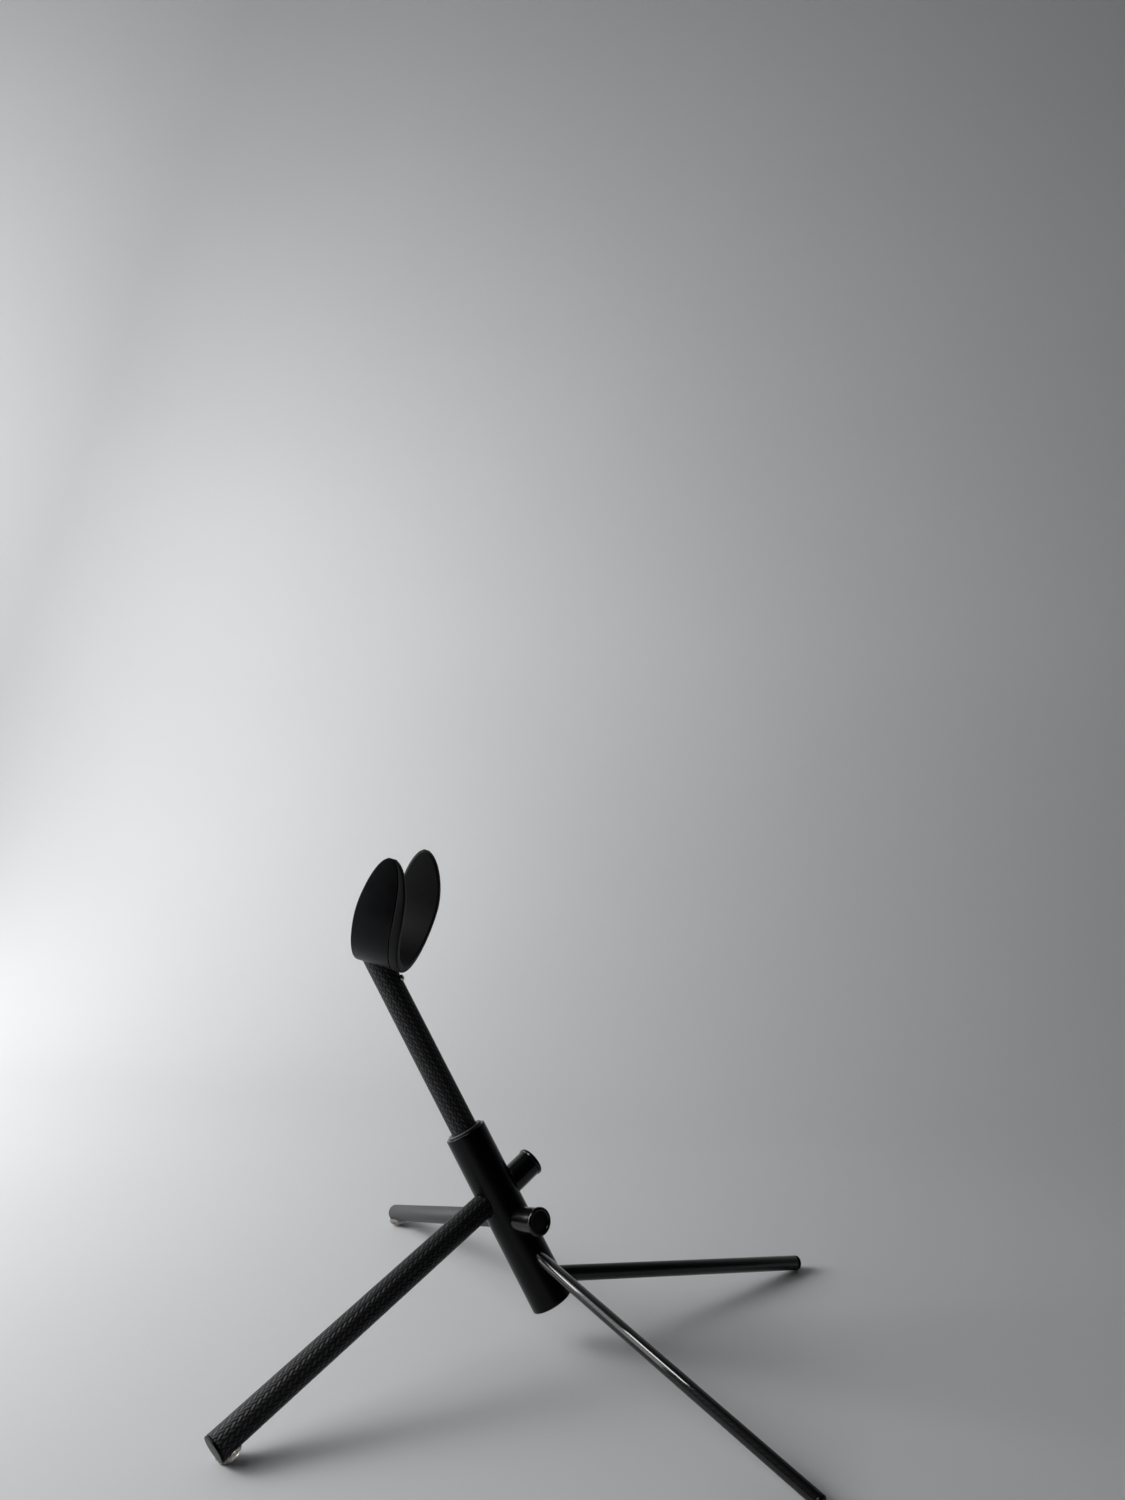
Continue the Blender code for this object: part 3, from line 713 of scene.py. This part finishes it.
def build_bumper(leg, matrix, materials):
    """A clear soft dome under a front leg's end, hollowed to the tube and flat on the floor."""
    node = leg + "_bumper"
    low, high, _, _ = measure(node, matrix)
    tube_radius = measure(leg + "_leg_tube", matrix)[3]
    dome = (BUMPER_RADIUS ** 2 + BUMPER_HEIGHT ** 2) / (2 * BUMPER_HEIGHT)
    half_angle = math.asin(BUMPER_RADIUS / dome)
    tip = tube_radius + BUMPER_HEIGHT
    base = tube_radius - BUMPER_WING
    profile = [(0, base), (BUMPER_RADIUS, base)]
    for ring in range(BUMPER_RINGS):
        angle = half_angle * (1 - ring / BUMPER_RINGS)
        profile.append((dome * math.sin(angle), tip - dome * (1 - math.cos(angle))))
    profile.append((0, tip))
    centre = Matrix.Translation((0, 0, (low + high) / 2))
    bumper = new_object(leg + "_foot", turned(leg + "_foot", profile),
                        matrix @ centre @ quarter_turn(), materials["silicone"])
    cut(bumper, rod(tube_radius + FACE_GAP, low - CUT_MARGIN, high + CUT_MARGIN), matrix)
    cut(bumper, rod(1.0, -CUT_MARGIN, 0), Matrix.Identity(4), EDGE_STEPS)
    bevel_edges(bumper, BUMPER_BEVEL)
    stand_for(bumper, leg + "_leg", "silicone_clear", node)


def build_peg(peg, matrix, hub, materials):
    """A rest pin in the hub and the beaded rubber sleeve over it."""
    _, _, _, radius = measure(peg + "_rest_pin", matrix)
    end = PEG_REACH - PEG_RECESS
    profile = [(0, PEG_START), (radius, PEG_START)]
    profile += rounded((radius - PEG_EDGE, end - PEG_EDGE), PEG_EDGE, 0, 90) + [(0, end)]
    pin = new_object(peg + "_peg_pin", turned(peg + "_peg_pin", profile), matrix, materials["pin"])
    stand_for(pin, "hub", "hub_acetal", peg + "_rest_pin")

    inner = radius + FIT_GAP
    outer = radius + SLEEVE_WALL
    bead = outer + SLEEVE_BEAD
    mouth = radius - SLEEVE_LIP
    shelf = end + FACE_GAP
    bead_low = PEG_REACH - SLEEVE_BEAD_LENGTH
    soft = SLEEVE_BEAD
    lip = SLEEVE_MOUTH_ROUND
    profile = [(inner, SLEEVE_START), (inner, shelf), (mouth, shelf)]
    profile += rounded((mouth + lip, PEG_REACH - lip), lip, 180, 90, 6)
    profile += rounded((bead - SLEEVE_ROUND, PEG_REACH - SLEEVE_ROUND), SLEEVE_ROUND, 90, 0, 10)
    profile += rounded((bead - soft, bead_low + 2 * soft), soft, 0, -90)[1:]
    profile += wall(outer, bead_low + soft, SLEEVE_START, HUB_RINGS)
    sleeve = new_object(peg + "_peg_sleeve", turned(peg + "_peg_sleeve", profile), matrix,
                        materials["sleeve"])
    hub_radius = measure("hub_body", hub)[3]
    cut(sleeve, rod(hub_radius + FACE_GAP, -FAR, 4 * FAR), hub, 2 * ROUND_STEPS)
    stand_for(sleeve, "hub", "rubber_black", peg + "_rest_sleeve")


def arc_stations():
    """Middle line of the U, from one tip to the other, as (across, up, angle, to_tip)."""
    half_turn = math.pi / 2 + ARM_TOE_IN
    stations = []
    for step in range(ARC_STEPS + 1):
        angle = half_turn * step / ARC_STEPS
        stations.append((0.0, 0.0, angle, ARM_LENGTH + BAND_RADIUS * (half_turn - angle)))
    for step in range(1, ARM_STEPS + 1):
        along = ARM_LENGTH * math.sin(math.pi / 2 * step / ARM_STEPS)
        stations.append((-along * math.sin(ARM_TOE_IN), along * math.cos(ARM_TOE_IN), half_turn,
                         ARM_LENGTH - along))
    mirrored = [(-across, up, -angle, to_tip) for across, up, angle, to_tip in stations[:0:-1]]
    return mirrored + stations


def half_width(to_tip):
    if to_tip >= ARM_TAPER:
        return BAND_HALF_WIDTH
    narrow = (ARM_TAPER - to_tip) / ARM_TAPER
    return max(TIP_HALF_WIDTH, BAND_HALF_WIDTH * math.sqrt(1 - narrow ** 2))


def place_section(station, outline):
    across, up, angle, _ = station
    return [
        (width, across + radius * math.sin(angle), up - radius * math.cos(angle))
        for width, radius in outline
    ]


def band_outline(station):
    half = half_width(station[3])
    inner = BAND_RADIUS - BAND_THICKNESS
    edge = BAND_EDGE
    points = rounded((half - edge, inner + edge), edge, -90, 0)
    points += rounded((half - edge, BAND_RADIUS - edge), edge, 0, 90)
    points += rounded((-half + edge, BAND_RADIUS - edge), edge, 90, 180)
    points += rounded((-half + edge, inner + edge), edge, 180, 270)
    return points


def pad_outline(station):
    half = half_width(station[3])
    share = (half / BAND_HALF_WIDTH) ** 1.5
    lip = PAD_LIP_TIP + (PAD_LIP - PAD_LIP_TIP) * share
    edge = min(PAD_ROUND, 0.45 * lip)
    outer = BAND_RADIUS - BAND_THICKNESS - FACE_GAP
    inner = outer - PAD_THICKNESS
    left = -max(half - PAD_INSET, 0.5 * half)
    step = half + FACE_GAP
    right = half + lip
    soft = PAD_ROUND
    points = rounded((left + 0.6 * soft, outer - 0.6 * soft), 0.6 * soft, 180, 90)
    points += [(step, outer)]
    points += rounded((step + 0.3 * edge, BAND_RADIUS - 0.3 * edge), 0.3 * edge, 180, 90)
    points += rounded((right - edge, BAND_RADIUS - edge), edge, 90, 0, 8)
    points += rounded((right - edge, inner + edge), edge, 0, -90, 8)
    points += rounded((left + soft, inner + soft), soft, 270, 180, 8)
    return points


def build_cradle(hub, materials):
    tilt = Matrix.Rotation(CRADLE_TILT, 4, "Y")
    head = hub @ Matrix.Translation((0, 0, HEAD_HEIGHT)) @ tilt
    matrix = head @ Matrix.Translation((0, 0, BAND_RADIUS))
    stations = arc_stations()
    mesh = swept("band", [place_section(station, band_outline(station)) for station in stations])
    band = new_object("band", mesh, matrix, materials["band"])
    inside = -BAND_RADIUS + BAND_THICKNESS
    neck = inside - FACE_GAP - SCREW_HEAD_HEIGHT
    below = neck - CUT_MARGIN
    hole = [(0, below), (SCREW_HOLE_RADIUS, below), (SCREW_HOLE_RADIUS, neck)]
    hole += [(SCREW_HEAD_HOLE_RADIUS, inside - FACE_GAP), (SCREW_HEAD_HOLE_RADIUS, 0), (0, 0)]
    cut(band, hole, matrix, PIN_STEPS)
    stand_for(band, "mast", "band_black", "cradle_band")
    mesh = swept("pad", [place_section(station, pad_outline(station)) for station in stations])
    pad = new_object("pad", mesh, matrix, materials["pad"])
    stand_for(pad, "mast", "rubber_black", "cradle_pad")


def give(node, material):
    mesh = frame["nodes"][node].data
    mesh.materials.clear()
    mesh.materials.append(material)


# Stage, light and camera

def build_stage():
    """A pale floor that curves up into a backdrop."""
    graph = Graph("paper")
    cloud = graph.noise(graph.place(), 3.0, 4.0)
    graph.set(Base_Color=graph.blend(cloud, PAPER_DARK, PAPER_LIGHT), Roughness=0.9)
    bm = bmesh.new()
    points = [(BACKDROP_FRONT, 0.0)]
    for step in range(BACKDROP_STEPS + 1):
        angle = math.pi / 2 * step / BACKDROP_STEPS
        points.append((BACKDROP_BACK + BACKDROP_RISE * math.sin(angle),
                       BACKDROP_RISE * (1 - math.cos(angle))))
    points.append((BACKDROP_BACK + BACKDROP_RISE, BACKDROP_HEIGHT))
    sides = (-BACKDROP_HALF_WIDTH, BACKDROP_HALF_WIDTH)
    rows = [[bm.verts.new((x, y, z)) for x in sides] for y, z in points]
    for row, other in zip(rows, rows[1:]):
        bm.faces.new((row[0], row[1], other[1], other[0]))
    floor = new_object("backdrop", finish_mesh("backdrop", bm), Matrix.Identity(4), graph.material)


def add_light(name, place, target, size, power, lit):
    data = bpy.data.lights.new(name, "AREA")
    data.shape = "RECTANGLE"
    data.size, data.size_y = size
    data.energy = power
    light = bpy.data.objects.new(name, data)
    bpy.context.scene.collection.objects.link(light)
    light.location = place
    light.visible_diffuse = lit
    light.rotation_euler = (Vector(target) - Vector(place)).to_track_quat("-Z", "Y").to_euler()


def light_scene():
    for name, settings in LIGHTS.items():
        add_light(name, *settings)
    world = bpy.data.worlds.new("room")
    world.use_nodes = True
    world.node_tree.nodes["Background"].inputs["Color"].default_value = (0.9, 0.95, 1.0, 1)
    world.node_tree.nodes["Background"].inputs["Strength"].default_value = ROOM_LIGHT
    bpy.context.scene.world = world
    bpy.context.scene.view_settings.view_transform = "Standard"


def place_camera():
    data = bpy.data.cameras.new("camera")
    data.sensor_width = 36.0
    data.lens = CAMERA_LENS
    camera = bpy.data.objects.new("camera", data)
    bpy.context.scene.collection.objects.link(camera)
    turn = Matrix.Rotation(CAMERA_AZIMUTH, 4, "Z")
    tip = Matrix.Rotation(math.pi / 2 - CAMERA_ELEVATION, 4, "X")
    roll = Matrix.Rotation(CAMERA_ROLL, 4, "Z")
    camera.matrix_world = Matrix.Translation(CAMERA_PLACE) @ turn @ tip @ roll
    bpy.context.scene.camera = camera


LEG_SLOTS = {
    "front_left": "carbon_twill",
    "front_right": "carbon_wrapped",
    "rear_left": "carbon_gloss",
    "rear_right": "carbon_satin",
}


def build_stand():
    materials = make_materials()
    hub = hub_matrix()
    legs = {leg: leg_matrix(leg) for leg in LEG_SLOTS}
    pegs = {peg: peg_matrix(peg, hub) for peg in PEGS}
    build_hub(hub, legs, pegs, materials)
    build_bush(hub, materials)
    build_mast(hub, materials)
    build_cradle(hub, materials)
    for leg, matrix in legs.items():
        build_leg(leg, matrix, LEG_SLOTS[leg], materials)
        if leg.startswith("front"):
            build_bumper(leg, matrix, materials)
    for peg, matrix in pegs.items():
        build_peg(peg, matrix, hub, materials)
    give("mast_head_plug", materials["pin"])
    give("cradle_screw", materials["steel"])


place_camera()
build_stage()
light_scene()
build_stand()
